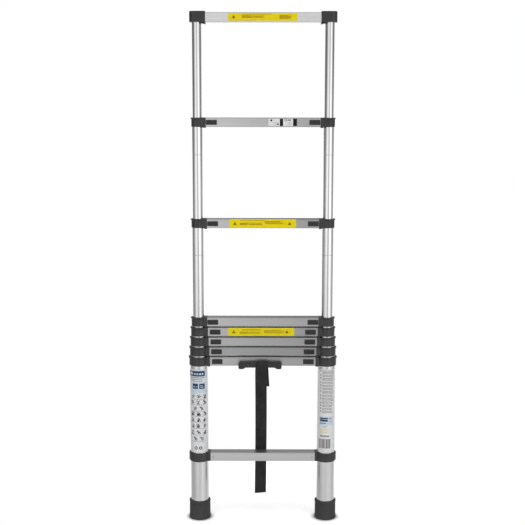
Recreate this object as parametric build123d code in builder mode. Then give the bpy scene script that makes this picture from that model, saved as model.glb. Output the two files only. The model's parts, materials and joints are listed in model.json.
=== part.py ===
"""Telescoping ladder: nine rungs on two stiles of eight nested aluminium tubes.

Units are millimetres. +Z is up, X runs across the ladder, and -Y is the front that
is climbed. The origin is on the floor, midway between the two feet.

Section s (1 to 8) is a pair of tubes. Section 1 stands in the feet. Every section
carries a rung on its top end: section s carries rung s + 1. Rung 1 is fixed low on
section 1. Sections 2 to 5 are drawn down into section 1, and 6 to 8 are extended.
"""
import os
from math import sqrt

from build123d import *

os.makedirs("parts", exist_ok=True)

# ---- driving dimensions ---------------------------------------------------------
STILE_X = 195.0         # stile axis, left and right of the middle
RUNG_PITCH = 300.0      # rung to rung, extended
STACK_PITCH = 30.5      # rung to rung, collapsed
RUNG_1_Z = 198.0        # middle of the lowest rung
RUNG_2_Z = 500.0        # middle of the rung on section 1
SECTIONS = 8
COLLAPSED_RUNGS = 6     # rungs 2 to 6 are stacked, and 7 to 9 are extended

TUBE_1_DIAMETER = 55.0
TUBE_STEP = 3.9         # each tube is this much thinner than the one around it
TUBE_WALL = 1.3
TUBE_TOP = 10.5         # tube end above the middle of its rung
TUBE_OVERLAP = 97.5     # how far an extended tube stays inside the one below
TUBE_1_BOTTOM = 12.0
STOP_GROOVE_Z = -95.5   # rolled stop groove, below the middle of the tube's rung
GROOVE_RADIUS = 1.1     # section of the rolled groove, a round tool mark
GROOVE_DEPTH = 0.5      # cut into the outside
BEAD_HEIGHT = 0.35      # raised on the inside

RUNG_DEPTH = 36.0
RUNG_HEIGHT = 27.5
TOP_RUNG_HEIGHT = 28.5
TOP_RUNG_RISE = 3.3     # the top rung sits higher on its section than the others
RUNG_WALL = 1.6
RUNG_CORNER = 3.0
TREAD_RIBS = 9          # grooves pressed into the tread
TREAD_RIB_PITCH = 3.2
TREAD_RIB_DEPTH = 0.5
FACE_LINE_Z = 9.5       # fine lines along the rung's front and back
FACE_LINE_DEPTH = 0.35

COLLAR_WALL = 2.0       # ring outside the tube
COLLAR_HEIGHT = 27.0
COLLAR_LIP = 2.1        # rim round the ring's top edge
COLLAR_CHAMFER = 1.2
BLOCK_REACH = 5.0       # rung-side block beyond the ring
LONG_BLOCK_REACH = 8.0  # the same, on the two uppermost pairs of collars
LONG_BLOCKS_FROM = 7    # lowest rung that has them
BLOCK_DEPTH = 36.8
BLOCK_HEIGHT = 27.8
LUG_BOTTOM = -16.2      # stop lug under the block, from the rung's middle
LUG_LENGTH = 9.0
SPIGOT_LENGTH = 10.0    # tongue of the collar inside the rung
FIT_GAP = 0.1           # glued or pressed joints within one section
RUN_GAP = 0.4           # inner tube through a collar

LOW_COLLAR_WALL = 4.5   # fixed collars of rung 1
LOW_BLOCK_REACH = 2.5
RIVET_X = 152.5

CAP_WIDTH = 47.0        # solid caps of the top rung
CAP_DEPTH = 44.0
CAP_CORNER = 15.0       # outer corners, seen from above
CAP_INNER_CORNER = 4.0
CAP_BOTTOM = -10.5
CAP_TOP = 20.6
CAP_INNER = 26.0        # rung end, from the stile axis

BUTTON_LENGTH = 32.0
BUTTON_HEIGHT = 14.4
BUTTON_THICKNESS = 3.4
BUTTON_GAP = 0.8        # locked button to the collar
BUTTON_TRAVEL = 5.0
BUTTON_LIFT = 0.3       # button above the rung's face
NECK_LENGTH = 12.0
NECK_HEIGHT = 9.0
SLOT_CLEARANCE = 0.6
BOLT_RADIUS = 4.0
BOLT_CLEARANCE = 0.3
BOLT_TIP_GAP = 0.3      # locked bolt to the inner tube
LOCK_HOLE_RADIUS = 4.6

FOOT_HEIGHT = 57.0
FOOT_RADIUS = 32.2
FOOT_BEAD = 0.8
FOOT_FLARE = 1.3
SOLE_GROOVE_DEPTH = 2.0

GRIP_X = -8.5
GRIP_WIDTH = 131.0
GRIP_BOTTOM = 485.9
GRIP_TOP = 500.8
GRIP_END_DROP = 4.7     # the ends reach this much lower than the middle
GRIP_FRONT = -41.0      # y of the bar's front
GRIP_BACK = -27.0       # y of the bar's back, along its middle
GRIP_SLOT_WIDTH = 74.0
GRIP_PEG_X = 56.0
GRIP_PEG_RADIUS = 3.0

STRAP_X = -5.5
STRAP_WIDTH = 35.0
STRAP_THICKNESS = 2.4
STRAP_GAP = 1.0         # slack between the webbing and what it passes
STRAP_FOLD_SHIFT = 8.0  # the folded end lies this far to the right
STRAP_BEND = 3.0

UP = (0, 0, 1)


# ---- places shared by several pieces --------------------------------------------
def tube_radius(section):
    """Outside radius of the tubes of a section."""
    return (TUBE_1_DIAMETER - TUBE_STEP * (section - 1)) / 2


def rung_z(rung):
    """Height of the middle of a rung."""
    if rung == 1:
        return RUNG_1_Z
    stacked = min(rung, COLLAPSED_RUNGS) - 2
    extended = max(rung - COLLAPSED_RUNGS, 0)
    return RUNG_2_Z + STACK_PITCH * stacked + RUNG_PITCH * extended


def rung_end(rung):
    """Distance from the middle of the ladder to a rung's end."""
    if rung == 1:
        return STILE_X - tube_radius(1) - LOW_COLLAR_WALL - LOW_BLOCK_REACH
    if rung == SECTIONS + 1:
        return STILE_X - CAP_INNER
    reach = LONG_BLOCK_REACH if rung >= LONG_BLOCKS_FROM else BLOCK_REACH
    return STILE_X - tube_radius(rung - 1) - COLLAR_WALL - reach


def tube_bottom(section):
    """Height of the lower end of a section's tubes."""
    if section == 1:
        return TUBE_1_BOTTOM
    return rung_z(section + 1) - RUNG_PITCH - TUBE_OVERLAP


def rung_height(rung):
    return TOP_RUNG_HEIGHT if rung == SECTIONS + 1 else RUNG_HEIGHT


def rung_middle(rung):
    """Height of the middle of the rung's profile."""
    return rung_z(rung) + (TOP_RUNG_RISE if rung == SECTIONS + 1 else 0)


def stile_axis():
    return Axis((STILE_X, 0, 0), UP)


def upright_plane(x, y, z):
    """Plane facing the front, with its own X to the right and its own Y up."""
    return Plane(origin=(x, y, z), x_dir=(1, 0, 0), z_dir=(0, -1, 0))


def save(piece, name):
    """Label a finished piece and write it."""
    piece.part.label = name
    export_step(piece.part, f"parts/{name}.step")


def save_both_sides(right, name):
    """Write a right-hand piece and its mirror image."""
    with BuildPart() as left:
        mirror(right.part, about=Plane.YZ)
    save(right, f"{name}_right")
    save(left, f"{name}_left")


# ---- sub-parts ------------------------------------------------------------------
def make_foot():
    """Rubber boot: beaded mouth, straight side, flared and grooved sole."""
    tube = tube_radius(1) + FIT_GAP
    with BuildPart() as foot:
        with BuildSketch(upright_plane(STILE_X, 0, 0)):
            with BuildLine():
                Polyline(
                    (0, 0),
                    (FOOT_RADIUS + FOOT_FLARE - 1.5, 0),
                    (FOOT_RADIUS + FOOT_FLARE, 1.5),
                    (FOOT_RADIUS + FOOT_FLARE, 5),
                    (FOOT_RADIUS, 12),
                    (FOOT_RADIUS, FOOT_HEIGHT - 7),
                    (FOOT_RADIUS + FOOT_BEAD, FOOT_HEIGHT - 5),
                    (FOOT_RADIUS + FOOT_BEAD, FOOT_HEIGHT - 1),
                    (FOOT_RADIUS, FOOT_HEIGHT),
                    (tube, FOOT_HEIGHT),
                    (tube, TUBE_1_BOTTOM),
                    (0, TUBE_1_BOTTOM),
                    close=True,
                )
            make_face()
        revolve(axis=stile_axis())
        with BuildSketch(Plane.XY):
            for radius in (13, 20, 27):
                with Locations((STILE_X, 0)):
                    Circle(radius + 1)
                    Circle(radius - 1, mode=Mode.SUBTRACT)
        extrude(amount=SOLE_GROOVE_DEPTH, mode=Mode.SUBTRACT)
    save_both_sides(foot, "foot")


def make_tube(section):
    """Stile tube with its rolled stop groove, bolt hole and lock hole."""
    outer = tube_radius(section)
    inner = outer - TUBE_WALL
    bottom = tube_bottom(section)
    top = rung_z(section + 1) + TUBE_TOP
    groove_z = rung_z(section + 1) + STOP_GROOVE_Z
    holes = []
    if section < SECTIONS:
        holes.append((rung_z(section + 1), BOLT_RADIUS + BOLT_CLEARANCE))
    if section > 1:
        holes.append((rung_z(section + 1) - RUNG_PITCH, LOCK_HOLE_RADIUS))
    with BuildPart() as tube:
        with BuildSketch(Plane.XZ):
            with Locations((STILE_X + (outer + inner) / 2, (bottom + top) / 2)):
                Rectangle(TUBE_WALL, top - bottom)
            if section < SECTIONS:
                with Locations((STILE_X + inner - BEAD_HEIGHT + GROOVE_RADIUS, groove_z)):
                    Circle(GROOVE_RADIUS)
                with Locations((STILE_X + outer - GROOVE_DEPTH + GROOVE_RADIUS, groove_z)):
                    Circle(GROOVE_RADIUS, mode=Mode.SUBTRACT)
        revolve(axis=stile_axis())
        for hole_z, radius in holes:
            with Locations(Plane(origin=(STILE_X, 0, hole_z), z_dir=(-1, 0, 0))):
                Cylinder(
                    radius,
                    outer + 1,
                    align=(Align.CENTER, Align.CENTER, Align.MIN),
                    mode=Mode.SUBTRACT,
                )
    save_both_sides(tube, f"tube_{section}")


def make_guides(section):
    """Plastic plugs in the lower ends of a section's tubes.

    The flange runs in the tube around it and meets that tube's stop groove."""
    flange = tube_radius(section - 1) - TUBE_WALL - FIT_GAP
    plug = tube_radius(section) - TUBE_WALL - FIT_GAP
    seat = tube_bottom(section)
    with BuildPart() as guides:
        with BuildSketch(Plane.XY.offset(seat - 5)):
            with Locations((STILE_X, 0)):
                Circle(flange)
                Circle(1.5, mode=Mode.SUBTRACT)
        extrude(amount=5)
        with BuildSketch(Plane.XY.offset(seat)):
            with Locations((STILE_X, 0)):
                Circle(plug)
                Circle(plug - 2, mode=Mode.SUBTRACT)
        extrude(amount=12)
        mirror(about=Plane.YZ)
    save(guides, f"guides_{section}")


def make_rung(rung):
    """Hollow aluminium rung with a ribbed tread and the slots of its buttons."""
    height = rung_height(rung)
    middle = rung_middle(rung)
    end = rung_end(rung)
    front = RUNG_DEPTH / 2
    with BuildPart() as body:
        with BuildSketch(Plane.YZ):
            with Locations((0, middle)):
                RectangleRounded(RUNG_DEPTH, height, RUNG_CORNER)
                RectangleRounded(
                    RUNG_DEPTH - 2 * RUNG_WALL,
                    height - 2 * RUNG_WALL,
                    RUNG_CORNER - RUNG_WALL,
                    mode=Mode.SUBTRACT,
                )
            with Locations((0, middle + height / 2)):
                with GridLocations(TREAD_RIB_PITCH, 1, TREAD_RIBS, 1):
                    Rectangle(1.2, 2 * TREAD_RIB_DEPTH, mode=Mode.SUBTRACT)
            with Locations((0, middle)):
                with GridLocations(RUNG_DEPTH, 2 * FACE_LINE_Z, 2, 2):
                    Rectangle(2 * FACE_LINE_DEPTH, 0.9, mode=Mode.SUBTRACT)
        extrude(amount=end, both=True)
        if 1 < rung <= SECTIONS:
            slot_length = NECK_LENGTH + BUTTON_TRAVEL + 2 * SLOT_CLEARANCE
            slot_x = end - BUTTON_GAP - BUTTON_LENGTH / 2 - BUTTON_TRAVEL / 2
            with BuildSketch(Plane.XZ.offset(front)):
                with Locations((-slot_x, rung_z(rung)), (slot_x, rung_z(rung))):
                    Rectangle(slot_length, NECK_HEIGHT + 2 * SLOT_CLEARANCE)
            extrude(amount=-3 * RUNG_WALL, mode=Mode.SUBTRACT)
        if rung == 1:
            with BuildSketch(Plane.XZ):
                with Locations((-RIVET_X, RUNG_1_Z), (RIVET_X, RUNG_1_Z)):
                    Circle(2 + FIT_GAP)
            extrude(amount=front + 1, both=True, mode=Mode.SUBTRACT)
        if rung == 2:
            peg_z = (GRIP_BOTTOM + GRIP_TOP) / 2
            with BuildSketch(Plane.XZ.offset(front)):
                with Locations((GRIP_X - GRIP_PEG_X, peg_z), (GRIP_X + GRIP_PEG_X, peg_z)):
                    Circle(GRIP_PEG_RADIUS + FIT_GAP)
            extrude(amount=-3 * RUNG_WALL, mode=Mode.SUBTRACT)
    save(body, f"rung_{rung}")


def make_collars(rung):
    """Plastic collars of rungs 2 to 8: ring, block with stop lug, and spigot."""
    outer_tube = tube_radius(rung - 1)
    inner_tube = tube_radius(rung)
    ring = outer_tube + COLLAR_WALL
    half = COLLAR_HEIGHT / 2
    z = rung_z(rung)
    end = rung_end(rung)
    passage = inner_tube + RUN_GAP
    bolt_bore = BOLT_RADIUS + BOLT_CLEARANCE
    with BuildPart() as collars:
        with BuildSketch(upright_plane(STILE_X, 0, z)):
            with BuildLine():
                Polyline(
                    (0, -half),
                    (ring - COLLAR_CHAMFER, -half),
                    (ring, COLLAR_CHAMFER - half),
                    (ring, half - 5),
                    (ring + COLLAR_LIP, half - 3),
                    (ring + COLLAR_LIP, half - 0.6),
                    (ring + COLLAR_LIP - 0.6, half),
                    (0, half),
                    close=True,
                )
            make_face()
        revolve(axis=stile_axis())
        with BuildSketch(Plane.YZ.offset(end)):
            with Locations((0, z)):
                RectangleRounded(BLOCK_DEPTH, BLOCK_HEIGHT, RUNG_CORNER)
        extrude(amount=STILE_X - end)
        with BuildSketch(upright_plane(end, 0, z)):
            with BuildLine():
                Polyline(
                    (0, 0),
                    (0, LUG_BOTTOM + 1),
                    (1, LUG_BOTTOM),
                    (LUG_LENGTH - 2, LUG_BOTTOM),
                    (LUG_LENGTH + 2, -half + 1),
                    (LUG_LENGTH + 2, 0),
                    close=True,
                )
            make_face()
        extrude(amount=BLOCK_DEPTH / 2 - 2, both=True)
        with BuildSketch(Plane.YZ.offset(end)):
            with Locations((0, z)):
                RectangleRounded(
                    RUNG_DEPTH - 2 * RUNG_WALL - 2 * FIT_GAP,
                    RUNG_HEIGHT - 2 * RUNG_WALL - 2 * FIT_GAP,
                    RUNG_CORNER - RUNG_WALL,
                )
        extrude(amount=-SPIGOT_LENGTH)
        with BuildSketch(Plane.XY.offset(z + LUG_BOTTOM - 1)):
            with Locations((STILE_X, 0)):
                Circle(outer_tube + FIT_GAP)
        extrude(amount=TUBE_TOP - LUG_BOTTOM + 1, mode=Mode.SUBTRACT)
        with BuildSketch(Plane.XY.offset(z)):
            with Locations((STILE_X, 0)):
                Circle(passage)
        extrude(amount=half + 1, mode=Mode.SUBTRACT)
        with BuildSketch(Plane.YZ.offset(end - SPIGOT_LENGTH - 1)):
            with Locations((0, z)):
                Circle(bolt_bore)
        extrude(amount=STILE_X - end + SPIGOT_LENGTH + 1, mode=Mode.SUBTRACT)
        mirror(about=Plane.YZ)
    save(collars, f"collars_{rung}")


def make_low_collars():
    """Fixed collars of rung 1, riveted through its front and back."""
    ring = tube_radius(1) + LOW_COLLAR_WALL
    half = COLLAR_HEIGHT / 2
    end = rung_end(1)
    with BuildPart() as collars:
        with BuildSketch(upright_plane(STILE_X, 0, RUNG_1_Z)):
            with BuildLine():
                Polyline(
                    (0, -half),
                    (ring - 2 * COLLAR_CHAMFER, -half),
                    (ring, 2 * COLLAR_CHAMFER - half),
                    (ring, half - COLLAR_CHAMFER),
                    (ring - COLLAR_CHAMFER, half),
                    (0, half),
                    close=True,
                )
            make_face()
        revolve(axis=stile_axis())
        with BuildSketch(Plane.YZ.offset(end)):
            with Locations((0, RUNG_1_Z)):
                RectangleRounded(BLOCK_DEPTH, BLOCK_HEIGHT, RUNG_CORNER)
        extrude(amount=STILE_X - end)
        with BuildSketch(Plane.YZ.offset(end)):
            with Locations((0, RUNG_1_Z)):
                RectangleRounded(
                    RUNG_DEPTH - 2 * RUNG_WALL - 2 * FIT_GAP,
                    RUNG_HEIGHT - 2 * RUNG_WALL - 2 * FIT_GAP,
                    RUNG_CORNER - RUNG_WALL,
                )
        extrude(amount=-2 * SPIGOT_LENGTH)
        with BuildSketch(Plane.XY.offset(RUNG_1_Z - BLOCK_HEIGHT)):
            with Locations((STILE_X, 0)):
                Circle(tube_radius(1) + FIT_GAP)
        extrude(amount=2 * BLOCK_HEIGHT, mode=Mode.SUBTRACT)
        with BuildSketch(Plane.XZ):
            with Locations((RIVET_X, RUNG_1_Z)):
                Circle(2 + FIT_GAP)
        extrude(amount=RUNG_DEPTH, both=True, mode=Mode.SUBTRACT)
        mirror(about=Plane.YZ)
    save(collars, "collars_1")


def make_rivets():
    """Blind rivets that hold rung 1 on its collars, two in front and two behind."""
    face = RUNG_DEPTH / 2
    with BuildPart() as rivets:
        with BuildSketch(Plane(origin=(RIVET_X, -face, RUNG_1_Z), x_dir=(0, 1, 0), z_dir=UP)):
            with BuildLine():
                Polyline((8, 0), (8, 2), (0, 2), (0, 3.4), (-0.7, 3.1), (-1.2, 0), close=True)
            make_face()
        revolve(axis=Axis((RIVET_X, 0, RUNG_1_Z), (0, 1, 0)))
        mirror(about=Plane.XZ)
        mirror(about=Plane.YZ)
    save(rivets, "rivets_1")


def make_top_caps():
    """Solid end caps of the top rung, closed over the innermost tubes."""
    z = rung_z(SECTIONS + 1)
    end = rung_end(SECTIONS + 1)
    with BuildPart() as caps:
        with BuildSketch(Plane.XY.offset(z + CAP_BOTTOM)):
            with Locations((end + CAP_WIDTH / 2, 0)):
                RectangleRounded(CAP_WIDTH, CAP_DEPTH, CAP_CORNER)
            with Locations((end + CAP_INNER / 2, 0)):
                RectangleRounded(CAP_INNER, CAP_DEPTH, CAP_INNER_CORNER)
        extrude(amount=CAP_TOP - CAP_BOTTOM)
        fillet(caps.faces().sort_by(Axis.Z)[-1].edges(), 2)
        with BuildSketch(upright_plane(end, 0, z)):
            with BuildLine():
                Polyline(
                    (0, 0),
                    (0, LUG_BOTTOM),
                    (LUG_LENGTH + 5, LUG_BOTTOM + 3),
                    (LUG_LENGTH + 5, 0),
                    close=True,
                )
            make_face()
        extrude(amount=BLOCK_DEPTH / 2 - 5, both=True)
        with BuildSketch(Plane.YZ.offset(end)):
            with Locations((0, rung_middle(SECTIONS + 1))):
                RectangleRounded(
                    RUNG_DEPTH - 2 * RUNG_WALL - 2 * FIT_GAP,
                    TOP_RUNG_HEIGHT - 2 * RUNG_WALL - 2 * FIT_GAP,
                    RUNG_CORNER - RUNG_WALL,
                )
        extrude(amount=-2 * SPIGOT_LENGTH)
        with BuildSketch(Plane.XY.offset(z + LUG_BOTTOM - 1)):
            with Locations((STILE_X, 0)):
                Circle(tube_radius(SECTIONS) + FIT_GAP)
        extrude(amount=TUBE_TOP - LUG_BOTTOM + 1 + FIT_GAP, mode=Mode.SUBTRACT)
        mirror(about=Plane.YZ)
    save(caps, f"end_caps_{SECTIONS + 1}")


def make_release(rung):
    """Thumb button, neck, carrier and lock bolt of one end of a rung, in one piece."""
    z = rung_z(rung)
    inset = BUTTON_GAP if rung >= COLLAPSED_RUNGS else BUTTON_GAP + BUTTON_TRAVEL
    button_x = rung_end(rung) - inset - BUTTON_LENGTH / 2
    face = RUNG_DEPTH / 2 + BUTTON_LIFT
    tip = STILE_X - tube_radius(rung) - BOLT_TIP_GAP
    if rung < COLLAPSED_RUNGS:
        tip -= BUTTON_TRAVEL
    with BuildPart() as release:
        with BuildSketch(Plane.XZ.offset(face)):
            with Locations((button_x, z)):
                RectangleRounded(BUTTON_LENGTH, BUTTON_HEIGHT, 1.5)
        extrude(amount=BUTTON_THICKNESS)
        chamfer(release.faces().sort_by(Axis.Y)[0].edges(), 0.7)
        with BuildSketch(Plane.XZ.offset(face + BUTTON_THICKNESS)):
            with Locations((button_x, z)):
                RectangleRounded(BUTTON_LENGTH - 7, BUTTON_HEIGHT - 6, 1.2)
        extrude(amount=-1.2, mode=Mode.SUBTRACT)
        with BuildSketch(Plane.XZ.offset(face + BUTTON_THICKNESS - 1.2)):
            with Locations((button_x, z)):
                with GridLocations(4, 1, 5, 1):
                    Rectangle(1.4, BUTTON_HEIGHT - 6.4)
        extrude(amount=0.9)
        with BuildSketch(Plane.XZ.offset(face)):
            with Locations((button_x, z)):
                Rectangle(NECK_LENGTH, NECK_HEIGHT)
        extrude(amount=-face - BOLT_RADIUS)
        with BuildSketch(Plane.YZ.offset(button_x)):
            with Locations((0, z)):
                Circle(BOLT_RADIUS)
        extrude(amount=tip - button_x)
        chamfer(release.faces().sort_by(Axis.X)[-1].edges(), 0.8)
    save_both_sides(release, f"release_{rung}")


def make_grip():
    """Moulded strap keeper on rung 2: a bar with thicker ends and two pegs."""
    rung_face = -RUNG_DEPTH / 2
    middle_z = (GRIP_BOTTOM + GRIP_TOP) / 2
    with BuildPart() as grip:
        with BuildSketch(upright_plane(GRIP_X, rung_face - FIT_GAP, 0)):
            with BuildLine():
                Polyline(
                    (-GRIP_WIDTH / 2, GRIP_BOTTOM - GRIP_END_DROP),
                    (-GRIP_WIDTH / 2 + 14, GRIP_BOTTOM - GRIP_END_DROP),
                    (-GRIP_WIDTH / 2 + 22, GRIP_BOTTOM),
                    (GRIP_WIDTH / 2 - 22, GRIP_BOTTOM),
                    (GRIP_WIDTH / 2 - 14, GRIP_BOTTOM - GRIP_END_DROP),
                    (GRIP_WIDTH / 2, GRIP_BOTTOM - GRIP_END_DROP),
                    (GRIP_WIDTH / 2, GRIP_TOP),
                    (-GRIP_WIDTH / 2, GRIP_TOP),
                    close=True,
                )
            make_face()
        extrude(amount=rung_face - GRIP_FRONT - FIT_GAP)
        upright = grip.edges().filter_by(Axis.Y).group_by(Axis.X)
        fillet(upright[0] + upright[-1], 5)
        fillet(grip.faces().sort_by(Axis.Y)[0].edges(), 3.5)
        with BuildSketch(Plane.XY.offset(GRIP_BOTTOM - 2 * GRIP_END_DROP)):
            with Locations((GRIP_X, (rung_face + GRIP_BACK) / 2)):
                Rectangle(GRIP_SLOT_WIDTH, rung_face - GRIP_BACK)
        extrude(amount=4 * RUNG_HEIGHT, mode=Mode.SUBTRACT)
        with BuildSketch(Plane.XZ.offset(-rung_face + FIT_GAP)):
            with Locations((GRIP_X - GRIP_PEG_X, middle_z), (GRIP_X + GRIP_PEG_X, middle_z)):
                Circle(GRIP_PEG_RADIUS)
        extrude(amount=-2 * RUNG_WALL - 2)
    save(grip, "grip_bar")


def strap_route():
    """Middle line of the webbing in (y, z), from the folded end round the bar and
    down behind rung 1. The part below the bar leans back over rung 1."""
    off = STRAP_THICKNESS / 2 + STRAP_GAP
    front = GRIP_FRONT - off
    back = GRIP_BACK + off
    over = GRIP_TOP + off
    behind_rung = RUNG_DEPTH / 2 + off + 1
    rung_top = RUNG_1_Z + RUNG_HEIGHT / 2 + 4
    lean = (behind_rung - front) / (GRIP_BOTTOM - rung_top)
    join_z = GRIP_BOTTOM - 26
    fold_z = 425.0
    ply = STRAP_THICKNESS - 0.4
    return {
        "fold": [
            (front + lean * (GRIP_BOTTOM - fold_z) + ply, fold_z),
            (front + lean * (GRIP_BOTTOM - join_z) + ply, join_z),
        ],
        "loop": [
            (front + lean * (GRIP_BOTTOM - join_z) + ply, join_z),
            (back, GRIP_BOTTOM - 2),
            (back, over),
            (front, over),
            (front, GRIP_BOTTOM),
        ],
        "tail": [
            (front, GRIP_BOTTOM),
            (behind_rung, rung_top),
            (behind_rung, 140),
            (behind_rung + 2, 68),
        ],
    }


def make_strap():
    """Webbing strap: folded end, loop round the bar, and the hanging tail."""
    route = strap_route()
    with BuildPart() as strap:
        for stretch in ("loop", "tail"):
            with BuildSketch(Plane.YZ.offset(STRAP_X)):
                with BuildLine():
                    FilletPolyline(*route[stretch], radius=STRAP_BEND)
                trace(line_width=STRAP_THICKNESS)
            extrude(amount=STRAP_WIDTH / 2, both=True)
        with BuildSketch(Plane.YZ.offset(STRAP_X + STRAP_FOLD_SHIFT)):
            with BuildLine():
                Line(*route["fold"])
            trace(line_width=STRAP_THICKNESS)
        extrude(amount=STRAP_WIDTH / 2, both=True)
    save(strap, "strap")
    with BuildLine():
        whole = FilletPolyline(
            *route["fold"][:1], *route["loop"], *route["tail"][1:], radius=STRAP_BEND
        )
    print("strap length, mm:", round(whole.length, 1))


make_foot()
for number in range(1, SECTIONS + 1):
    make_tube(number)
for number in range(2, SECTIONS + 1):
    make_guides(number)
for number in range(1, SECTIONS + 2):
    make_rung(number)
make_low_collars()
make_rivets()
for number in range(2, SECTIONS + 1):
    make_collars(number)
make_top_caps()
for number in range(2, SECTIONS + 1):
    make_release(number)
make_grip()
make_strap()
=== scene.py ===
"""Telescoping ladder: materials, labels, webbing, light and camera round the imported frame.

Everything is in metres in the frame's own axes: +Z is up and -Y is the front.
"""
import json
import random
from math import cos, pi, radians, sin, tan

import bmesh
import bpy
from mathutils import Matrix, Vector


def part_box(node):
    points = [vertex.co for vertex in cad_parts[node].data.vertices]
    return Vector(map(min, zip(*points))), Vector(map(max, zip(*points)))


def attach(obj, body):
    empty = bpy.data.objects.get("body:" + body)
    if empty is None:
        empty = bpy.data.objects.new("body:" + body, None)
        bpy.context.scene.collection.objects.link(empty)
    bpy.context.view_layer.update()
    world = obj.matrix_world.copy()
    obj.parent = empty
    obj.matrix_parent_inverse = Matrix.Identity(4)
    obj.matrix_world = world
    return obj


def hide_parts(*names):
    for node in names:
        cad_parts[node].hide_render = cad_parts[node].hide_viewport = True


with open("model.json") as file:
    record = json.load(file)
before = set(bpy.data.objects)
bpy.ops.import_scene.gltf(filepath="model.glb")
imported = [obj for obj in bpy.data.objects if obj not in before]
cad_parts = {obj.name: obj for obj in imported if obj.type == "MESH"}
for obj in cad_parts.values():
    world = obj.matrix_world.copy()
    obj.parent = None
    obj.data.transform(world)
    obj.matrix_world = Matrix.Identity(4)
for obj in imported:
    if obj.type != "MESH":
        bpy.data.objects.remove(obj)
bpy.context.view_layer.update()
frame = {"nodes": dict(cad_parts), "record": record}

MM = 0.001

# ---- colours, as seen on a screen -------------------------------------------------


def linear(red, green, blue):
    """Screen values from 0 to 255 as a linear colour with alpha."""
    out = []
    for value in (red, green, blue):
        share = value / 255
        out.append(share / 12.92 if share <= 0.04045 else ((share + 0.055) / 1.055) ** 2.4)
    return (*out, 1.0)


# ---- node helpers -----------------------------------------------------------------


class Surface:
    """A procedural material: one Principled shader fed by noise in object coordinates."""

    def __init__(self, name, metallic=0.0, specular=0.5):
        self.material = bpy.data.materials.new(name)
        self.material.use_nodes = True
        self.nodes = self.material.node_tree.nodes
        self.links = self.material.node_tree.links
        self.shader = self.nodes["Principled BSDF"]
        self.shader.inputs["Metallic"].default_value = metallic
        self.shader.inputs["Specular IOR Level"].default_value = specular
        self.place = self.nodes.new("ShaderNodeTexCoord").outputs["Object"]
        self.normal = None

    def stretched(self, stretch, turn=0.0):
        mapping = self.nodes.new("ShaderNodeMapping")
        mapping.inputs["Scale"].default_value = stretch
        mapping.inputs["Rotation"].default_value = (0, turn, 0)
        self.links.new(self.place, mapping.inputs["Vector"])
        return mapping.outputs["Vector"]

    def noise(self, stretch, detail=3.0, rough=0.55, turn=0.0):
        """Noise whose grains are 1/stretch metres long on each axis."""
        node = self.nodes.new("ShaderNodeTexNoise")
        node.inputs["Scale"].default_value = 1.0
        node.inputs["Detail"].default_value = detail
        node.inputs["Roughness"].default_value = rough
        self.links.new(self.stretched(stretch, turn), node.inputs["Vector"])
        return node.outputs["Fac"]

    def across(self):
        """Distance to the right of the ladder's middle, in metres."""
        node = self.nodes.new("ShaderNodeSeparateXYZ")
        self.links.new(self.place, node.inputs[0])
        return node.outputs["X"]

    def wave(self, scale, axis):
        node = self.nodes.new("ShaderNodeTexWave")
        node.bands_direction = axis
        node.inputs["Scale"].default_value = scale
        node.inputs["Distortion"].default_value = 0.0
        self.links.new(self.place, node.inputs["Vector"])
        return node.outputs["Fac"]

    def span(self, value, low, high, to_low, to_high):
        node = self.nodes.new("ShaderNodeMapRange")
        node.inputs["From Min"].default_value = low
        node.inputs["From Max"].default_value = high
        node.inputs["To Min"].default_value = to_low
        node.inputs["To Max"].default_value = to_high
        self.links.new(value, node.inputs["Value"])
        return node.outputs["Result"]

    def combine(self, operation, first, second):
        node = self.nodes.new("ShaderNodeMath")
        node.operation = operation
        for socket, value in zip(node.inputs, (first, second)):
            if isinstance(value, (int, float)):
                socket.default_value = value
            else:
                self.links.new(value, socket)
        return node.outputs["Value"]

    def blend_colour(self, share, first, second):
        node = self.nodes.new("ShaderNodeMix")
        node.data_type = "RGBA"
        self.links.new(share, node.inputs["Factor"])
        for key, value in (("A", first), ("B", second)):
            socket = [s for s in node.inputs if s.name == key and s.type == "RGBA"][0]
            if isinstance(value, tuple):
                socket.default_value = value
            else:
                self.links.new(value, socket)
        return [s for s in node.outputs if s.type == "RGBA"][0]

    def bump(self, height, depth):
        """depth is in metres, for a height that runs from 0 to 1."""
        node = self.nodes.new("ShaderNodeBump")
        node.inputs["Strength"].default_value = 1.0
        node.inputs["Distance"].default_value = depth
        self.links.new(height, node.inputs["Height"])
        if self.normal is not None:
            self.links.new(self.normal, node.inputs["Normal"])
        self.normal = node.outputs["Normal"]

    def finish(self, colour, roughness):
        self.links.new(colour, self.shader.inputs["Base Color"])
        self.links.new(roughness, self.shader.inputs["Roughness"])
        if self.normal is not None:
            self.links.new(self.normal, self.shader.inputs["Normal"])
        return self.material


# the grey of the painted shade towards the ladder's right
PAINTED_SHADE_GREY = linear(70, 69, 68)


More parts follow.
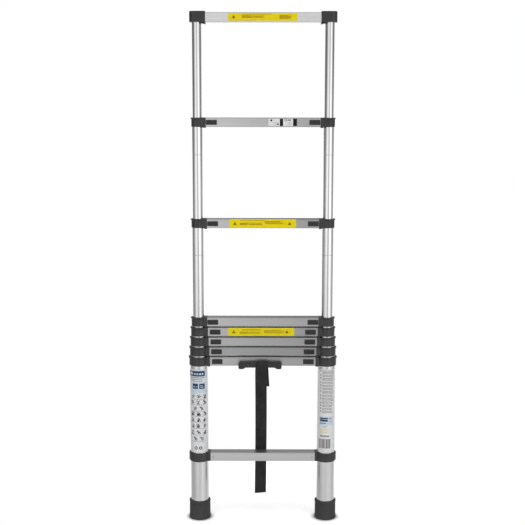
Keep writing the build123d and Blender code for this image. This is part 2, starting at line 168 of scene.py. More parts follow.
def drawn_metal(name, light, dark, gloss, dull, along, grain=0.000012, shade_to_right=0.0):
    """Drawn or extruded aluminium: streaks run along one axis, with soft handling marks.

    The last argument is painted shade: how much greyer the piece is at the ladder's right than at its left."""
    surface = Surface(name, metallic=1.0)
    fine = [1400.0, 1400.0, 1400.0]
    broad = [260.0, 260.0, 260.0]
    scuff = [420.0, 420.0, 420.0]
    fine[along] = 9.0
    broad[along] = 2.2
    scuff[along] = 30.0
    streaks = surface.noise(fine, detail=2.0)
    bands = surface.noise(broad, detail=2.0)
    clouds = surface.noise((14.0, 14.0, 14.0), detail=4.0)
    marks = surface.span(surface.noise(scuff, detail=3.0, turn=0.35), 0.68, 0.80, 0.0, 1.0)
    tone = surface.combine(
        "ADD", surface.span(bands, 0.3, 0.7, 0.0, 0.6), surface.span(clouds, 0.3, 0.7, 0.0, 0.4))
    colour = surface.blend_colour(tone, dark, light)
    colour = surface.blend_colour(surface.combine("MULTIPLY", marks, 0.35), colour, dark)
    # painted shade: greyer towards the ladder's right as the light falls, with a little random unevenness
    # from the clouds
    if shade_to_right:
        painted_shade = surface.span(surface.across(), -0.14, 0.14, 0.0, shade_to_right)
        painted_shade = surface.combine("ADD", painted_shade, surface.span(clouds, 0.3, 0.7, -0.04, 0.04))
        colour = surface.blend_colour(painted_shade, colour, PAINTED_SHADE_GREY)
    rough = surface.span(surface.combine("ADD", streaks, clouds), 0.7, 1.3, gloss, dull)
    rough = surface.combine("ADD", rough, surface.combine("MULTIPLY", marks, 0.08))
    surface.bump(streaks, grain)
    surface.bump(surface.noise((38.0, 38.0, 38.0), detail=1.0), 0.00001)
    return surface.finish(colour, rough)


def moulded(name, dark, worn, gloss, dull, grain, grain_depth, scuff_share, specular=0.5):
    """Moulded plastic or rubber: spark-eroded grain, flow clouds and pale rub marks."""
    surface = Surface(name, specular=specular)
    pits = surface.noise((grain, grain, grain), detail=2.0)
    clouds = surface.noise((22.0, 22.0, 22.0), detail=4.0)
    rubs = surface.noise((160.0, 60.0, 420.0), detail=5.0, rough=0.7, turn=0.5)
    rubs = surface.combine("MULTIPLY", surface.span(rubs, 0.60, 0.78, 0.0, 1.0), scuff_share)
    share = surface.combine("ADD", surface.span(clouds, 0.3, 0.75, 0.0, 0.35), rubs)
    colour = surface.blend_colour(share, dark, worn)
    rough = surface.span(surface.combine("ADD", pits, clouds), 0.7, 1.3, gloss, dull)
    surface.bump(pits, grain_depth)
    surface.bump(clouds, 0.00015)
    return surface.finish(colour, rough)


def printed(name, light, dark):
    """Label stock or ink: faint mottling and the orange peel of printed vinyl."""
    surface = Surface(name, specular=0.2)
    mottle = surface.noise((90.0, 90.0, 90.0), detail=5.0)
    peel = surface.noise((1100.0, 1100.0, 1100.0), detail=1.0)
    colour = surface.blend_colour(surface.span(mottle, 0.3, 0.7, 0.0, 1.0), light, dark)
    surface.bump(peel, 0.00001)
    return surface.finish(colour, surface.span(mottle, 0.3, 0.7, 0.42, 0.60))


def woven(name, dark, light):
    """Polyester webbing: fine weft across lengthwise ribs, with dusty high threads."""
    surface = Surface(name, specular=0.25)
    weft = surface.wave(640.0 / (2 * pi), "Z")
    warp = surface.wave(900.0 / (2 * pi), "X")
    fluff = surface.noise((1500.0, 1500.0, 1500.0), detail=3.0)
    clouds = surface.noise((60.0, 60.0, 30.0), detail=4.0)
    threads = surface.combine("MULTIPLY", weft, warp)
    share = surface.combine(
        "ADD", surface.combine("MULTIPLY", threads, 0.6), surface.span(clouds, 0.3, 0.7, 0.0, 0.4))
    colour = surface.blend_colour(share, dark, light)
    surface.bump(threads, 0.00022)
    surface.bump(fluff, 0.00005)
    return surface.finish(colour, surface.span(fluff, 0.3, 0.7, 0.72, 0.92))


X_AXIS, Z_AXIS = 0, 2
MATERIALS = {
    "tube_aluminium": drawn_metal(
        "tube_aluminium", linear(217, 217, 217), linear(201, 201, 202), 0.12, 0.20, Z_AXIS, 0.000004),
    "rivet_aluminium": drawn_metal(
        "rivet_aluminium", linear(190, 190, 194), linear(160, 160, 165), 0.34, 0.50, X_AXIS),
    "collar_plastic": moulded(
        "collar_plastic", linear(34, 34, 35), linear(62, 62, 63), 0.34, 0.48, 2600.0, 0.00003, 0.35),
    "guide_plastic": moulded(
        "guide_plastic", linear(92, 93, 95), linear(126, 126, 128), 0.40, 0.55, 2200.0, 0.00003, 0.3),
    "button_plastic": moulded(
        "button_plastic", linear(22, 22, 23), linear(50, 50, 52), 0.36, 0.50, 3000.0, 0.00003, 0.4),
    "grip_plastic": moulded(
        "grip_plastic", linear(24, 24, 25), linear(48, 48, 49), 0.40, 0.55, 2400.0, 0.00004, 0.3),
    "foot_rubber": moulded(
        "foot_rubber", linear(50, 50, 51), linear(86, 85, 84), 0.62, 0.82, 1800.0, 0.00006, 0.45, 0.3),
    "strap_webbing": woven("strap_webbing", linear(24, 24, 25), linear(54, 54, 55)),
}
LABEL_WHITE = printed("label_white", linear(213, 214, 215), linear(201, 202, 203))
LABEL_BRIGHT = printed("label_bright", linear(222, 222, 223), linear(206, 206, 208))
LABEL_YELLOW = printed("label_yellow", linear(223, 205, 0), linear(211, 193, 0))
# a darker copy of the yellow stock: painted shade for the label on rung 5, in the closed stack
LABEL_SHADED_YELLOW = printed("label_shaded_yellow", linear(216, 200, 6), linear(202, 186, 4))
INK_BLACK = printed("ink_black", linear(8, 8, 9), linear(22, 21, 22))
INK_GREY = printed("ink_grey", linear(112, 111, 110), linear(126, 124, 123))
INK_NAVY = printed("ink_navy", linear(30, 52, 76), linear(44, 64, 86))
INK_PALE_BLUE = printed("ink_pale_blue", linear(192, 202, 214), linear(180, 191, 204))
INK_BROWN = printed("ink_brown", linear(140, 116, 0), linear(156, 130, 2))
INK_SIGN = printed("ink_sign", linear(112, 84, 6), linear(126, 96, 8))
INK_OCHRE = printed("ink_ochre", linear(196, 168, 0), linear(204, 178, 2))

# ---- CAD nodes take their materials -----------------------------------------------


def give_material(piece, material):
    piece.data.materials.clear()
    piece.data.materials.append(material)


# each rung has its own painted light and shade: screen values of its light and dark streaks, lighter or
# darker as the light falls on that rung, and its painted shade towards the right
RUNG_LIGHT_AND_SHADE = {
    1: (206, 192, 0.06), 2: (192, 178, 0.24), 3: (178, 164, 0.24), 4: (192, 178, 0.28), 5: (196, 182, 0.34),
    6: (201, 187, 0.22), 7: (204, 190, 0.36), 8: (211, 197, 0.30), 9: (227, 214, 0.03)}

for part in frame["record"]["subparts"]:
    if part["material_slot"] in MATERIALS:
        give_material(frame["nodes"][part["node"]], MATERIALS[part["material_slot"]])
# each rung takes its own painted lit or shaded copy of the aluminium
for rung, (light, dark, shade_to_right) in RUNG_LIGHT_AND_SHADE.items():
    give_material(frame["nodes"][f"rung_{rung}"], drawn_metal(
        f"rung_aluminium_{rung}", linear(light, light, light), linear(dark, dark, dark + 1),
        0.30, 0.42, X_AXIS, shade_to_right=shade_to_right))


# ---- labels -----------------------------------------------------------------------

VINYL = 0.15 * MM       # label stock
INK = 0.02 * MM         # printed ink, on the stock
LIFT = 0.02 * MM        # air between one layer and the next


def bar(left, low, right, high):
    return [(left, low), (right, low), (right, high), (left, high)]


def rounded_bar(left, low, right, high, radius):
    outline = []
    for x, z, first in ((right, low, -90), (right, high, 0), (left, high, 90), (left, low, 180)):
        for step in range(5):
            angle = radians(first + 22.5 * step)
            inward_x = radius if x == left else -radius
            inward_z = radius if z == low else -radius
            outline.append((x + inward_x + radius * cos(angle), z + inward_z + radius * sin(angle)))
    return outline


def disc(x, z, radius, corners=18, first=0.0):
    return [
        (x + radius * cos(first + 2 * pi * i / corners), z + radius * sin(first + 2 * pi * i / corners))
        for i in range(corners)
    ]


def triangle(x, z, radius):
    return disc(x, z, radius, 3, pi / 2)


def slanted(x, z, length, width, angle):
    """A bar of that length and width, turned by angle in degrees."""
    along = Vector((cos(radians(angle)), sin(radians(angle)))) * length / 2
    across = Vector((-sin(radians(angle)), cos(radians(angle)))) * width / 2
    middle = Vector((x, z))
    return [tuple(middle + a * along + b * across) for a, b in ((-1, -1), (1, -1), (1, 1), (-1, 1))]


def sheet_of_shapes(name, body, place, layers, cuts):
    """Thin closed plates, one for each outline, laid on a surface by place(u, v, height).

    layers is a list of (material, bottom, thickness, outlines) in metres. cuts are the
    (point, direction) planes that divide the plates where the surface is round."""
    mesh = bpy.data.meshes.new(name)
    final = bmesh.new()
    for index, (material, bottom, thickness, outlines) in enumerate(layers):
        mesh.materials.append(material)
        flat = bmesh.new()
        for outline in outlines:
            flat.faces.new([flat.verts.new((x, z, 0)) for x, z in outline])
        for point, direction in cuts:
            bmesh.ops.bisect_plane(
                flat, geom=flat.verts[:] + flat.edges[:] + flat.faces[:],
                plane_co=point, plane_no=direction, dist=1e-7)
        grown = bmesh.ops.extrude_face_region(flat, geom=flat.faces[:], use_keep_orig=True)
        top = set(v for v in grown["geom"] if isinstance(v, bmesh.types.BMVert))
        for vert in flat.verts:
            height = bottom + (thickness if vert in top else 0)
            vert.co = place(vert.co.x, vert.co.y, height)
        bmesh.ops.recalc_face_normals(flat, faces=flat.faces[:])
        for face in flat.faces:
            face.material_index = index
        part = bpy.data.meshes.new(name + "_layer")
        flat.to_mesh(part)
        flat.free()
        final.from_mesh(part)
        bpy.data.meshes.remove(part)
    final.to_mesh(mesh)
    final.free()
    piece = bpy.data.objects.new(name, mesh)
    bpy.context.scene.collection.objects.link(piece)
    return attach(piece, body)


def text_bars(draw, left, right, z, height, words=(2.0, 7.0), gap=1.0):
    """One line of generic text, as word-long bars. All in millimetres."""
    bars = []
    x = left
    while x < right - words[0]:
        end = min(x + draw.uniform(*words), right)
        bars.append(bar(x * MM, z * MM, end * MM, (z + height) * MM))
        x = end + gap
    return bars


def mm_outlines(outlines):
    return [[(x * MM, z * MM) for x, z in outline] for outline in outlines]


RUNG_CORNER = 3.0 * MM  # radius of a rung's long edges
EDGE_CUT = 0.6 * MM     # the same strips, over a rung's rounded edge
EDGE_CUTS = 5


def on_rung(rung):
    """place() for a label on a rung's front, bent over its rounded edges, and its cuts."""
    low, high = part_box(f"rung_{rung}")
    flat_low, flat_high = low.z + RUNG_CORNER, high.z - RUNG_CORNER

    def place(u, v, height):
        flat = min(max(v, flat_low), flat_high)
        angle = (v - flat) / RUNG_CORNER
        reach = RUNG_CORNER + height
        return (u, low.y + RUNG_CORNER - reach * cos(angle), flat + reach * sin(angle))

    levels = [flat_high + step * EDGE_CUT for step in range(EDGE_CUTS)]
    levels += [flat_low - step * EDGE_CUT for step in range(EDGE_CUTS)]
    return place, [((0, level, 0), (0, 1, 0)) for level in levels]


def yellow_label(rung, stock, left, right, low, high, signs, underlays, blocks):
    """A yellow label: plain signs, tinted fields, and blocks of generic text bars.

    Heights of fields and blocks are shares of the label's own height."""
    draw = random.Random(rung)
    tall = high - low
    icons = [triangle(x, low + 0.47 * tall, 6.2) for x in signs]
    fills = [bar(x0, low + share0 * tall, x1, low + share1 * tall) for x0, x1, share0, share1 in underlays]
    lines = []
    for x0, x1, share0, share1, rows in blocks:
        pitch = (share1 - share0) * tall / rows
        for row in range(rows):
            z = low + share0 * tall + row * pitch
            lines += text_bars(draw, x0, x1 - draw.uniform(0, 4), z, 0.62 * pitch, (3.0, 9.0), 0.7)
    layers = [
        (stock, LIFT, VINYL, [rounded_bar(left * MM, low * MM, right * MM, high * MM, 1.5 * MM)]),
        (INK_OCHRE, VINYL + 2 * LIFT, INK, mm_outlines(fills)),
        (INK_SIGN, VINYL + 2 * LIFT, INK, mm_outlines(icons)),
        (INK_BROWN, VINYL + INK + 3 * LIFT, INK, lines),
    ]
    place, cuts = on_rung(rung)
    return sheet_of_shapes(f"label_rung_{rung}", f"section_{rung - 1}", place, layers, cuts)


yellow_label(
    9, LABEL_YELLOW, -102.5, 99.5, 1514.4, 1536.4, (-86.0,),
    [(-63.0, 3.5, 0.36, 0.76), (46.0, 80.0, 0.26, 0.80), (-98.0, -20.0, 0.02, 0.10)],
    [(-61, 26, 0.84, 0.95, 1), (-62, -30, 0.38, 0.74, 3), (-28, 3, 0.46, 0.62, 1),
     (48, 76, 0.30, 0.78, 4), (76, 85, 0.36, 0.60, 2)])
yellow_label(
    7, LABEL_YELLOW, -100.0, 98.7, 909.6, 935.0, (-84.0, 79.5),
    [(-69.0, -2.0, 0.33, 0.63), (4.0, 58.0, 0.44, 0.80), (-69.0, 8.0, 0.86, 0.93)],
    [(-69, -42, 0.35, 0.61, 2), (-42, -2, 0.38, 0.52, 1), (-69, 8, 0.86, 0.94, 1),
     (5, 56, 0.66, 0.84, 1), (9, 66, 0.46, 0.56, 1)])
# rung 5's label takes the darker yellow stock: painted shade
yellow_label(
    5, LABEL_SHADED_YELLOW, -105.0, 95.0, 579.9, 604.3, (-88.0, 73.0),
    [(-70.0, -7.0, 0.28, 0.56), (-62.0, -4.0, 0.70, 0.84), (3.0, 66.0, 0.38, 0.72)],
    [(-70, -43, 0.30, 0.54, 2), (-42, -6, 0.34, 0.48, 1), (-63, -4, 0.72, 0.84, 1),
     (3, 54, 0.60, 0.76, 1), (3, 66, 0.36, 0.50, 1)])

SMALL_STICKERS = (
    ("white", 15.4, 49.2), ("black", 49.0, 58.9), ("white", 58.7, 88.2), ("black", 88.0, 99.8))


def rung_8_stickers():
    low, high = 1211.5, 1232.7
    draw = random.Random(8)
    white, black, lines = [], [], []
    signs = [
        disc(24.0, 1228.0, 3.0), disc(43.5, 1217.0, 2.6), disc(66.5, 1229.0, 3.6),
        bar(72.0, 1227.6, 82.0, 1230.4)]
    for colour, left, right in SMALL_STICKERS:
        outline = rounded_bar((left + 0.2) * MM, low * MM, (right - 0.2) * MM, high * MM, 0.8 * MM)
        (white if colour == "white" else black).append(outline)
        if colour == "white":
            for row in range(3):
                z = low + 2.4 + row * 3.2
                lines += text_bars(draw, left + 14, right - 4, z, 1.1, (1.6, 4.0), 1.6)
    layers = [
        (LABEL_BRIGHT, LIFT, VINYL, white),
        (INK_BLACK, LIFT, VINYL, black),
        (INK_GREY, VINYL + 2 * LIFT, INK, lines),
        (INK_BLACK, VINYL + 2 * LIFT, INK, mm_outlines(signs)),
        (LABEL_BRIGHT, VINYL + INK + 3 * LIFT, INK, mm_outlines([disc(66.5, 1229.0, 2.2)])),
    ]
    place, cuts = on_rung(8)
    return sheet_of_shapes("stickers_rung_8", "section_7", place, layers, cuts)


rung_8_stickers()


def on_tube(side):
    """place() for a label bent round the front of the widest tube."""
    low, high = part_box("tube_1_" + side)
    middle = (low + high) / 2
    radius = (high.x - low.x) / 2

    def place(u, v, height):
        angle = u / radius
        reach = radius + height
        return (middle.x + reach * sin(angle), middle.y - reach * cos(angle), v)

    return place


STRIP = 1.1 * MM        # width of the flat strips of a label bent round a tube
TUBE_CUTS = [((step * STRIP, 0, 0), (1, 0, 0)) for step in range(-34, 35)]


def small_figure(draw, x, z, size):
    """A generic pictogram: a few strokes and a dot, with no meaning of its own."""
    lean = draw.choice((-68, -58, 62, 74, 90))
    shapes = [slanted(x, z, 1.0 * size, 0.20 * size, lean)]
    if draw.random() < 0.7:
        second_lean = lean + draw.choice((-30, 0, 0, 24))
        shapes.append(slanted(x + 0.30 * size, z - 0.05 * size, 0.8 * size, 0.16 * size, second_lean))
    if draw.random() < 0.6:
        shapes.append(disc(x - 0.30 * size, z + 0.27 * size, 0.15 * size, 12))
    if draw.random() < 0.5:
        shapes.append(slanted(x, z - 0.42 * size, 0.9 * size, 0.14 * size, 0))
    if draw.random() < 0.35:
        shapes.append(disc(x - 0.12 * size, z - 0.24 * size, 0.26 * size, 14))
    return shapes


LABEL_TOP = 476.5
LABEL_FOOT = 215.0


def left_tube_label():
    draw = random.Random(21)
    banner = [bar(-36.0, 455.5, 19.8, 472.0)]
    pale = [
        bar(-29.0, 459.0, -20.0, 468.5), bar(-15.5, 460.0, -9.5, 465.5), bar(-6.5, 460.0, -1.5, 465.5),
        bar(1.0, 460.0, 7.5, 465.5), bar(9.5, 460.0, 14.5, 465.5)]
    tinted = [
        rounded_bar(-36.5, 449.0, 30.5, 475.0, 1.0), rounded_bar(-26.0, 402.0, 27.0, 437.0, 1.0)]
    boxes = [rounded_bar(-20.1, 416.5, -2.3, 432.5, 1.2), rounded_bar(1.5, 416.5, 19.1, 432.5, 1.2)]
    in_boxes = [
        triangle(-14.5, 423.0, 3.4), bar(-9.0, 421.5, -4.5, 424.0), bar(5.0, 420.5, 15.5, 422.5),
        bar(5.0, 425.0, 12.0, 427.5)]
    grey = []
    black = []
    for z in (450.0, 444.5, 439.5):
        grey += text_bars(draw, -27, 18 - draw.uniform(0, 8), z, 2.2, (5.0, 12.0), 0.8)
    rows = (
        (392.6, 3), (374.4, 3), (354.8, 2), (338.4, 3), (318.9, 3), (299.8, 3), (279.4, 3), (259.0, 2))
    for z, count in rows:
        for column in range(count):
            x = -21.0 + column * 20.0 if count == 3 else -13.0 + column * 21.0
            black += small_figure(draw, x + draw.uniform(-1.2, 1.2), z, 12.5)
        grey += text_bars(draw, -28, 26 - draw.uniform(0, 12), z - 9.4, 1.1, (2.5, 7.0), 0.9)
    rings = [disc(-9.5, 229.5, 5.0, 22), disc(4.5, 229.5, 5.0, 22)]
    ring_holes = [disc(-9.5, 229.5, 2.6, 20), disc(4.5, 229.5, 2.6, 20)]
    ink = VINYL + 2 * LIFT
    second = ink + INK + LIFT
    third = second + INK + LIFT
    layers = [
        (LABEL_WHITE, LIFT, VINYL, mm_outlines([rounded_bar(-38.0, LABEL_FOOT, 33.0, LABEL_TOP, 2.0)])),
        (INK_PALE_BLUE, ink, INK, mm_outlines(tinted)),
        (INK_GREY, second, INK, grey),
        (INK_NAVY, second, INK, mm_outlines(banner + boxes)),
        (INK_BLACK, second, INK, mm_outlines(black + rings)),
        (INK_PALE_BLUE, third, INK, mm_outlines(pale + in_boxes)),
        (LABEL_WHITE, third, INK, mm_outlines(ring_holes)),
    ]
    return sheet_of_shapes("label_tube_left", "base", on_tube("left"), layers, TUBE_CUTS)


def right_tube_label():
    draw = random.Random(34)
    grey, black = [], []
    z = 471.0
    while z > 338.0:
        black += mm_outlines([bar(-21.0, z, -17.5, z + 3.2)])
        for _ in range(draw.choice((2, 2, 3))):
            if z > 338.0:
                grey += text_bars(draw, -14, 26 - draw.uniform(0, 7), z + 1.0, 1.9, (4.0, 12.0), 0.7)
            z -= 4.1
        z -= 1.0
    tinted = [rounded_bar(-24.0, 301.0, 24.0, 330.0, 1.0)]
    navy = mm_outlines([bar(-20.5, 321.5, 4.0, 326.0), bar(-20.5, 314.0, 4.0, 320.0)])
    pale = text_bars(draw, -20, -1, 307.0, 2.6, (4.0, 8.0), 0.8)
    grey += text_bars(draw, 8, 21, 321.5, 3.0, (6.0, 8.0), 0.6)
    grey += text_bars(draw, 8, 20, 314.0, 1.6, (4.0, 6.0), 0.6)
    grey += text_bars(draw, -12, 2, 297.0, 1.6, (3.0, 6.0), 0.8)
    ochre = []
    for z in (290.0, 284.5, 279.0):
        ochre += text_bars(draw, -20, 8, z, 1.2, (6.0, 12.0), 0.8)
    grey += text_bars(draw, -20, 15, 265.5, 4.2, (6.0, 12.0), 0.8)
    stripes = []
    x = -25.0
    while x < 13.0:
        width = draw.choice((0.9, 1.4, 2.4, 4.6))
        stripes.append(bar(x, 228.5, min(x + width, 14.0), 258.5))
        x += width + draw.choice((0.8, 1.0, 2.2))
    ink = VINYL + 2 * LIFT
    second = ink + INK + LIFT
    layers = [
        (LABEL_WHITE, LIFT, VINYL, mm_outlines([rounded_bar(-32.0, LABEL_FOOT, 30.0, LABEL_TOP, 2.0)])),
        (INK_PALE_BLUE, ink, INK, mm_outlines(tinted)),
        (INK_GREY, second, INK, grey + mm_outlines(stripes)),
        (INK_BLACK, second, INK, black),
        (INK_NAVY, second, INK, navy + pale),
        (INK_OCHRE, second, INK, ochre),
    ]
    return sheet_of_shapes("label_tube_right", "base", on_tube("right"), layers, TUBE_CUTS)


left_tube_label()
right_tube_label()

# ---- carry strap ------------------------------------------------------------------

STRAP_X = -5.5
STRAP_WIDTH = 35.0
STRAP_THICKNESS = 1.8
# (y, z, bend radius) along the webbing, from its folded end over the bar to its tail
STRAP_ROUTE = (
    (-26.7, 425.0, 0.0), (-35.0, 459.9, 20.0), (-24.8, 483.9, 12.0), (-24.8, 503.0, 4.0),
    (-43.2, 503.0, 4.0), (-43.2, 485.9, 14.0), (21.2, 215.75, 60.0), (21.2, 140.0, 80.0),
    (23.2, 68.0, 0.0))
RIBS = 20
FOLD_SHIFT, FOLD_REACH = 8.3, 118.0     # the folded end stands to the right, along this stretch
HANG_FROM = 150.0                       # where along the webbing it hangs free
SWAY, SWAY_LENGTH, DRIFT = 0.7, 95.0, 0.0022
CUPPING = 0.5
TAIL_SKEW, TAIL_SAMPLES = 0.09, 12      # the tail was cut a little askew


def strap_line(step):
    """Points (y, z) along the rounded route, step millimetres apart, and its length."""
    dense = []
    points = [Vector((y, z)) for y, z, _ in STRAP_ROUTE]
    for index, point in enumerate(points):
        radius = STRAP_ROUTE[index][2]
        if radius == 0.0:
            dense.append(point)
            continue
        into = (point - points[index - 1]).normalized()
        out = (points[index + 1] - point).normalized()
        turn = into.angle(out)
        reach = min(radius * tan(turn / 2), 0.45 * (point - points[index - 1]).length,
                    0.45 * (points[index + 1] - point).length)
        start, end = point - into * reach, point + out * reach
        for i in range(13):
            t = i / 12
            dense.append((1 - t) ** 2 * start + 2 * t * (1 - t) * point + t * t * end)
    lengths = [0.0]
    for first, second in zip(dense, dense[1:]):
        lengths.append(lengths[-1] + (second - first).length)
    count = round(lengths[-1] / step)
    line = []
    at = 0
    for i in range(count + 1):
        wanted = lengths[-1] * i / count
        while at < len(lengths) - 2 and lengths[at + 1] < wanted:
            at += 1
        share = (wanted - lengths[at]) / max(lengths[at + 1] - lengths[at], 1e-9)
        line.append(dense[at].lerp(dense[at + 1], min(max(share, 0), 1)))
    return line, lengths[-1]


def strap_point(line, total, index, across, height):
    """A point of the webbing: across from -0.5 to 0.5, height in mm off its middle."""
    before = line[max(index - 1, 0)]
    after = line[min(index + 1, len(line) - 1)]
    way = (after - before).normalized()
    outward = Vector((-way.y, way.x))      # away from the loop's inside
    y, z = line[index] + outward * height
    along = total * index / (len(line) - 1)
    shift = FOLD_SHIFT * max(0.0, 1 - along / FOLD_REACH) ** 0.8
    hang = max(0.0, along - HANG_FROM)
    sway = SWAY * sin(hang / SWAY_LENGTH) - DRIFT * hang
    cup = CUPPING * (1 - (2 * across) ** 2) * min(1.0, hang / 80.0)
    x = STRAP_X + shift + sway + across * STRAP_WIDTH
    return Vector((x * MM, (y - cup) * MM, z * MM))


def make_strap():
    line, total = strap_line(1.5)
    samples = RIBS * 4
    mesh = bpy.data.meshes.new("carry_strap")
    shape = bmesh.new()
    rings = []
    last = len(line) - 1
    for index in range(last + 1):
        ring = []
        end_gap = min(index, last - index) * total / last
        thin = 0.75 if end_gap < 1.0 else 1.0
        for side in (1, -1):
            for sample in range(samples + 1):
                share = sample / samples
                across = (share - 0.5) * side
                edge = min(share, 1 - share) * STRAP_WIDTH
                rib = 0.16 * abs(sin(pi * share * RIBS))
                half = (STRAP_THICKNESS / 2 - 0.16 + rib) * thin
                half *= min(1.0, 0.55 + 0.3 * edge)
                vert = shape.verts.new(strap_point(line, total, index, across, side * half))
                tail = index - last + TAIL_SAMPLES
                if tail > 0:
                    vert.co.z += TAIL_SKEW * (vert.co.x - STRAP_X * MM) * tail / TAIL_SAMPLES
                ring.append(vert)
        rings.append(ring)
    for first, second in zip(rings, rings[1:]):
        for i in range(len(first)):
            j = (i + 1) % len(first)
            shape.faces.new((first[i], first[j], second[j], second[i]))
    for ring in (rings[0], rings[-1]):
        half = len(ring) // 2
        for i in range(half - 1):
            a, b = ring[i], ring[i + 1]
            c, d = ring[len(ring) - 2 - i], ring[len(ring) - 1 - i]
            shape.faces.new((a, b, c, d))
    bmesh.ops.recalc_face_normals(shape, faces=shape.faces[:])
    for face in shape.faces:
        face.smooth = True
    shape.to_mesh(mesh)
    shape.free()
    piece = bpy.data.objects.new("carry_strap", mesh)
    bpy.context.scene.collection.objects.link(piece)
    give_material(piece, MATERIALS["strap_webbing"])
    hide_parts("strap")
    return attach(piece, "base")


strap = make_strap()

# ---- stage, light and camera ------------------------------------------------------


FLOOR_RADIUS = 0.6
FLOOR_DROP = -0.0005        # just under the soles
FLOOR_TONE = 215            # screen value of the floor, to all but the lens
OVEREXPOSED = 0.10
CONTACT_SHADOW = 0.02       # reach of the soft shadow round a foot
CONTACT_TONE = 135


def make_floor():
    """White paper on the floor: the lens sees it a little overexposed, with a soft shadow round
    each foot. The metal reflects the world's floor instead."""
    surface = Surface("floor_paper", specular=0.1)
    tint = surface.noise((3.0, 3.0, 3.0), detail=2.0)
    to_lens = surface.nodes.new("ShaderNodeLightPath").outputs["Is Camera Ray"]
    openness = surface.nodes.new("ShaderNodeAmbientOcclusion")
    openness.inputs["Distance"].default_value = CONTACT_SHADOW
    lit = surface.span(openness.outputs["AO"], 0.5, 0.97, 0.0, 1.0)
    paper = surface.blend_colour(tint, linear(250, 250, 250), linear(252, 252, 252))
    paper = surface.blend_colour(lit, linear(*[CONTACT_TONE] * 3), paper)
    colour = surface.blend_colour(to_lens, linear(*[FLOOR_TONE] * 3), paper)
    glow = surface.combine("MULTIPLY", surface.combine("MULTIPLY", to_lens, lit), OVEREXPOSED)
    surface.shader.inputs["Emission Color"].default_value = (1, 1, 1, 1)
    surface.links.new(glow, surface.shader.inputs["Emission Strength"])
    material = surface.finish(colour, surface.span(tint, 0.3, 0.7, 0.85, 0.9))
    mesh = bpy.data.meshes.new("floor")
    shape = bmesh.new()
    bmesh.ops.create_circle(shape, cap_ends=True, segments=96, radius=FLOOR_RADIUS)
    shape.to_mesh(mesh)
    shape.free()
    floor = bpy.data.objects.new("floor", mesh)
    floor.location.z = FLOOR_DROP
    floor.visible_glossy = False
    bpy.context.scene.collection.objects.link(floor)
    give_material(floor, material)


def soft_sun(name, direction, strength, spread):
    """Even soft light from a wide patch of ceiling, so the floor is evenly lit."""
    data = bpy.data.lights.new(name, "SUN")
    data.energy = strength
    data.angle = radians(spread)
    light = bpy.data.objects.new(name, data)
    light.visible_glossy = False
    light.rotation_euler = Vector(direction).to_track_quat("-Z", "Y").to_euler()
    bpy.context.scene.collection.objects.link(light)


# radiance of the studio by direction: (half turns from the front, radiance)
ROOM_BY_AZIMUTH = (
    (0.00, 0.66), (0.08, 0.90), (0.15, 1.28), (0.26, 1.12), (0.34, 0.54), (0.43, 0.24),
    (0.58, 0.10), (0.68, 0.20), (0.78, 0.64), (1.00, 0.52))
# and its gain by the sine of the elevation: straight ahead, to the front's sides, and
# round the back
AHEAD_BY_HEIGHT = (
    (-1.0, 0.40), (-0.30, 0.62), (-0.19, 0.80), (-0.12, 0.95), (-0.05, 1.10), (0.02, 1.05),
    (0.15, 1.00), (0.5, 0.80), (1.0, 0.7))
ASIDE_BY_HEIGHT = (
    (-1.0, 0.45), (-0.30, 0.85), (-0.19, 1.20), (-0.12, 1.50), (-0.05, 1.60), (0.02, 1.20),
    (0.15, 1.00), (0.5, 0.90), (1.0, 0.8))
BACK_BY_HEIGHT = (
    (-1.0, 2.4), (-0.30, 2.5), (-0.12, 2.5), (-0.05, 2.0), (0.02, 1.1), (0.15, 0.9),
    (0.5, 0.9), (1.0, 0.9))
FLOOR_GLOW = 0.82           # the pale floor, as the metal reflects it
GLOW_BY_AZIMUTH = (         # and its gain by azimuth, in half turns from the front
    (0.00, 1.02), (0.10, 1.04), (0.20, 1.08), (0.28, 1.04), (0.38, 0.86), (0.50, 0.76), (0.60, 0.78),
    (0.70, 0.98), (1.00, 1.00))
GLOW_TO_RIGHT = 0.14        # the floor on the right is the brighter one
FLOOR_FROM = (-0.18, -0.34) # sine of the elevation where it begins, and where it is all
AHEAD_HALF_WIDTH = 0.09     # half turns either side of the front
SIDE_WALL = (0.30, 0.46)    # where the front's sides give way to the back
BRIGHTEST = 2.5             # the colour ramps hold radiance as a share of this
LEFT_BIAS = 0.06            # the darker patch ahead stands a little to the right
RIGHT_GAIN = 0.22           # the soft box on the right is the brighter one
SCREEN_WHITE = 1.0


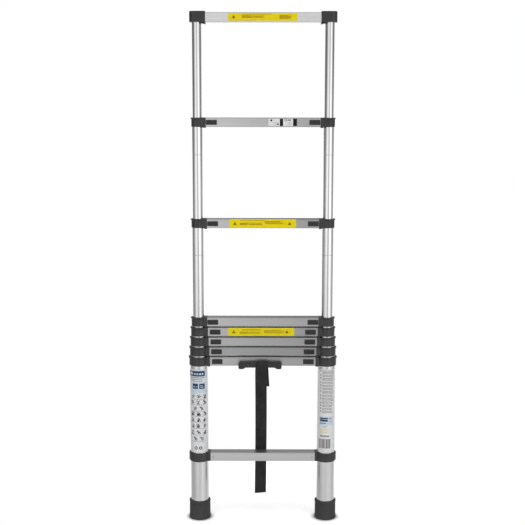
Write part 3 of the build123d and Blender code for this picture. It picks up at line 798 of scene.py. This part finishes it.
def make_world():
    """Plain studio: two broad soft boxes in front, dark sides, and a white backdrop."""
    world = bpy.data.worlds.new("studio")
    bpy.context.scene.world = world
    world.use_nodes = True
    nodes, links = world.node_tree.nodes, world.node_tree.links
    nodes.clear()

    def math_node(operation, *values):
        node = nodes.new("ShaderNodeMath")
        node.operation = operation
        for socket, value in zip(node.inputs, values):
            if isinstance(value, (int, float)):
                socket.default_value = value
            else:
                links.new(value, socket)
        return node.outputs["Value"]

    def stepped(value, stops, low, high):
        """Radiance along a smooth curve past (position, radiance) stops."""
        node = nodes.new("ShaderNodeValToRGB")
        ramp = node.color_ramp
        ramp.interpolation = "B_SPLINE"
        while len(ramp.elements) > 1:
            ramp.elements.remove(ramp.elements[0])
        for index, (position, radiance) in enumerate(stops):
            share = (position - low) / (high - low)
            stop = ramp.elements[0] if index == 0 else ramp.elements.new(share)
            stop.position = share
            stop.color = (*[radiance / BRIGHTEST] * 3, 1)
        links.new(value, node.inputs["Fac"])
        return math_node("MULTIPLY", node.outputs["Color"], BRIGHTEST)

    direction = nodes.new("ShaderNodeTexCoord").outputs["Generated"]
    axes = nodes.new("ShaderNodeSeparateXYZ")
    links.new(direction, axes.inputs[0])
    across = math_node("ABSOLUTE", math_node("SUBTRACT", axes.outputs["X"], LEFT_BIAS))
    forward = math_node("MULTIPLY", axes.outputs["Y"], -1.0)
    azimuth = math_node("DIVIDE", math_node("ARCTAN2", across, forward), pi)
    height = math_node("MULTIPLY_ADD", axes.outputs["Z"], 0.5, 0.5)

    def blended(first, second, position, start, end):
        """first gives way to second as position goes from start to end."""
        share = nodes.new("ShaderNodeMapRange")
        share.interpolation_type = "SMOOTHSTEP"
        share.inputs["From Min"].default_value = start
        share.inputs["From Max"].default_value = end
        links.new(position, share.inputs["Value"])
        mix = nodes.new("ShaderNodeMix")
        links.new(share.outputs["Result"], mix.inputs["Factor"])
        links.new(first, mix.inputs["A"])
        links.new(second, mix.inputs["B"])
        return mix.outputs["Result"]

    front = blended(
        stepped(height, AHEAD_BY_HEIGHT, -1.0, 1.0), stepped(height, ASIDE_BY_HEIGHT, -1.0, 1.0),
        azimuth, AHEAD_HALF_WIDTH / 3, AHEAD_HALF_WIDTH * 5 / 3)
    by_height = blended(front, stepped(height, BACK_BY_HEIGHT, -1.0, 1.0), azimuth, *SIDE_WALL)
    radiance = math_node("MULTIPLY", stepped(azimuth, ROOM_BY_AZIMUTH, 0.0, 1.0), by_height)
    tilt = math_node("MULTIPLY_ADD", axes.outputs["X"], RIGHT_GAIN, 1.0)
    radiance = math_node("MULTIPLY", radiance, tilt)
    glow = math_node("MULTIPLY", stepped(azimuth, GLOW_BY_AZIMUTH, 0.0, 1.0), FLOOR_GLOW)
    side_gain = math_node("MULTIPLY_ADD", axes.outputs["X"], GLOW_TO_RIGHT, 1.0)
    glow = math_node("MULTIPLY", glow, side_gain)
    radiance = blended(radiance, glow, axes.outputs["Z"], *FLOOR_FROM)
    room = nodes.new("ShaderNodeBackground")
    links.new(radiance, room.inputs["Strength"])
    seen = nodes.new("ShaderNodeBackground")
    seen.inputs["Strength"].default_value = SCREEN_WHITE
    for node in (room, seen):
        node.inputs["Color"].default_value = (1, 1, 1, 1)
    pick = nodes.new("ShaderNodeMixShader")
    links.new(nodes.new("ShaderNodeLightPath").outputs["Is Camera Ray"], pick.inputs["Fac"])
    links.new(room.outputs[0], pick.inputs[1])
    links.new(seen.outputs[0], pick.inputs[2])
    links.new(pick.outputs[0], nodes.new("ShaderNodeOutputWorld").inputs["Surface"])


FOCAL_LENGTH = 73.522                   # mm, on a sensor 36 mm wide
SENSOR_WIDTH = 36.0
CAMERA_PLACE = (-0.0013, -3.2, 1.2846)
CAMERA_PITCH = 0.1496                   # radians, downwards
CAMERA_ROLL = radians(0.08)


def make_camera():
    data = bpy.data.cameras.new("camera")
    data.sensor_width = SENSOR_WIDTH
    data.lens = FOCAL_LENGTH
    data.clip_end = 60.0
    camera = bpy.data.objects.new("camera", data)
    camera.location = CAMERA_PLACE
    camera.rotation_mode = "XYZ"
    level = Matrix.Rotation(pi / 2 - CAMERA_PITCH, 3, "X")
    camera.rotation_euler = (level @ Matrix.Rotation(CAMERA_ROLL, 3, "Z")).to_euler()
    bpy.context.scene.collection.objects.link(camera)
    bpy.context.scene.camera = camera


make_floor()
make_world()
make_camera()
soft_sun("ceiling", (0.0, 0.12, -1.0), 2.5, 60.0)
bpy.context.scene.view_settings.view_transform = "Standard"
